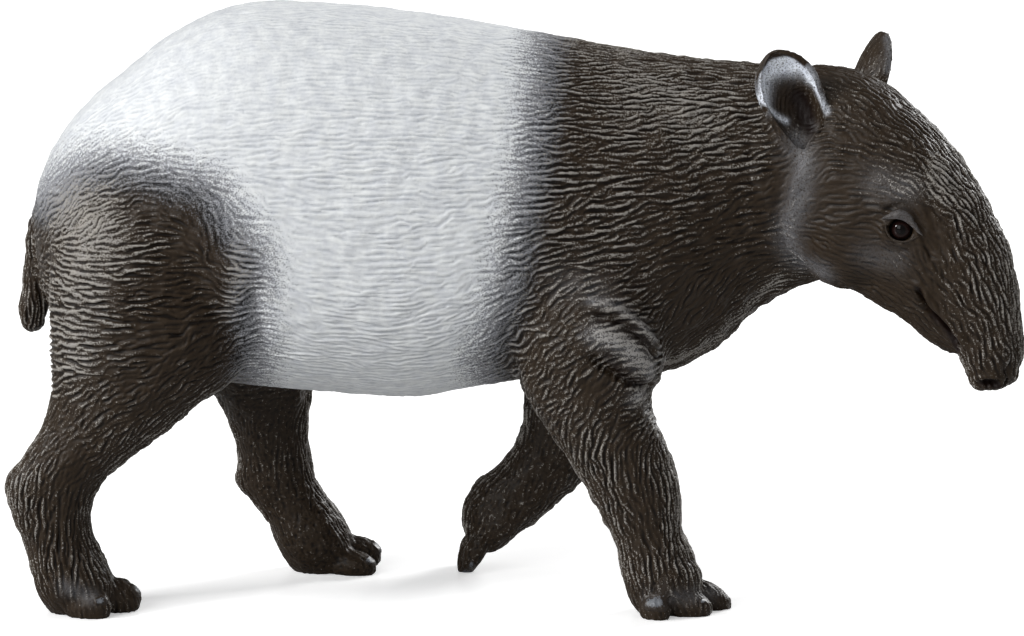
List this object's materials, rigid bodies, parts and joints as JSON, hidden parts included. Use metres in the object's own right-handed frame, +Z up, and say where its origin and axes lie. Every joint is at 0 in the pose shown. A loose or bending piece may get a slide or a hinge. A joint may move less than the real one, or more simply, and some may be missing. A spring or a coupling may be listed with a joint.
{
  "type": "malayan tapir toy figurine",
  "caption": "Moulded vinyl toy tapir, walking, with its head turned aside. A small display and play figure that stands on its own feet.",
  "frame": {"origin": "on the floor under the middle of the bounding box", "axes": "+X towards the head, +Y to the animal's left, +Z up"},
  "size_m": [0.1038, 0.032, 0.0619],
  "materials": {
    "ear_left_coat": "moulded vinyl, rim sprayed pale blue-grey",
    "ear_right_coat": "moulded vinyl, rim sprayed pale blue-grey",
    "eye_left_gloss": "gloss black-brown lacquer",
    "eye_right_gloss": "gloss black-brown lacquer",
    "fore_foot_left_coat": "moulded vinyl, dark brown paint",
    "fore_foot_right_coat": "moulded vinyl, dark brown paint",
    "fore_leg_left_coat": "moulded vinyl, dark paint dry-brushed grey",
    "fore_leg_right_coat": "moulded vinyl, dark paint dry-brushed grey",
    "fore_toe_left_inner_coat": "moulded vinyl, dark brown paint, tips dry-brushed grey",
    "fore_toe_left_middle_coat": "moulded vinyl, dark brown paint, tips dry-brushed grey",
    "fore_toe_left_outer_coat": "moulded vinyl, dark brown paint, tips dry-brushed grey",
    "fore_toe_left_side_coat": "moulded vinyl, dark brown paint, tips dry-brushed grey",
    "fore_toe_right_inner_coat": "moulded vinyl, dark brown paint, tips dry-brushed grey",
    "fore_toe_right_middle_coat": "moulded vinyl, dark brown paint, tips dry-brushed grey",
    "fore_toe_right_outer_coat": "moulded vinyl, dark brown paint, tips dry-brushed grey",
    "fore_toe_right_side_coat": "moulded vinyl, dark brown paint, tips dry-brushed grey",
    "head_coat": "moulded vinyl, dark paint dry-brushed grey on the fur relief",
    "hind_foot_left_coat": "moulded vinyl, dark brown paint",
    "hind_foot_right_coat": "moulded vinyl, dark brown paint",
    "hind_leg_left_coat": "moulded vinyl, dark paint dry-brushed grey",
    "hind_leg_right_coat": "moulded vinyl, dark paint dry-brushed grey",
    "hind_toe_left_inner_coat": "moulded vinyl, dark brown paint, tips dry-brushed grey",
    "hind_toe_left_middle_coat": "moulded vinyl, dark brown paint, tips dry-brushed grey",
    "hind_toe_left_outer_coat": "moulded vinyl, dark brown paint, tips dry-brushed grey",
    "hind_toe_right_inner_coat": "moulded vinyl, dark brown paint, tips dry-brushed grey",
    "hind_toe_right_middle_coat": "moulded vinyl, dark brown paint, tips dry-brushed grey",
    "hind_toe_right_outer_coat": "moulded vinyl, dark brown paint, tips dry-brushed grey",
    "lower_jaw_coat": "moulded vinyl, dark paint",
    "neck_coat": "moulded vinyl, dark paint dry-brushed grey on the fur relief",
    "snout_coat": "moulded vinyl, dark paint dry-brushed grey",
    "tail_coat": "moulded vinyl, dark paint",
    "torso_coat": "moulded vinyl, white saddle and dark rump sprayed over sculpted fur"
  },
  "bodies": {
    "root": {"ear_left": "ear_left_coat", "ear_right": "ear_right_coat", "eye_left": "eye_left_gloss", "eye_right": "eye_right_gloss", "fore_foot_left": "fore_foot_left_coat", "fore_foot_right": "fore_foot_right_coat", "fore_leg_left": "fore_leg_left_coat", "fore_leg_right": "fore_leg_right_coat", "fore_toe_left_inner": "fore_toe_left_inner_coat", "fore_toe_left_middle": "fore_toe_left_middle_coat", "fore_toe_left_outer": "fore_toe_left_outer_coat", "fore_toe_left_side": "fore_toe_left_side_coat", "fore_toe_right_inner": "fore_toe_right_inner_coat", "fore_toe_right_middle": "fore_toe_right_middle_coat", "fore_toe_right_outer": "fore_toe_right_outer_coat", "fore_toe_right_side": "fore_toe_right_side_coat", "head": "head_coat", "hind_foot_left": "hind_foot_left_coat", "hind_foot_right": "hind_foot_right_coat", "hind_leg_left": "hind_leg_left_coat", "hind_leg_right": "hind_leg_right_coat", "hind_toe_left_inner": "hind_toe_left_inner_coat", "hind_toe_left_middle": "hind_toe_left_middle_coat", "hind_toe_left_outer": "hind_toe_left_outer_coat", "hind_toe_right_inner": "hind_toe_right_inner_coat", "hind_toe_right_middle": "hind_toe_right_middle_coat", "hind_toe_right_outer": "hind_toe_right_outer_coat", "lower_jaw": "lower_jaw_coat", "neck": "neck_coat", "snout": "snout_coat", "tail": "tail_coat", "torso": "torso_coat"}
  },
  "joints": []
}
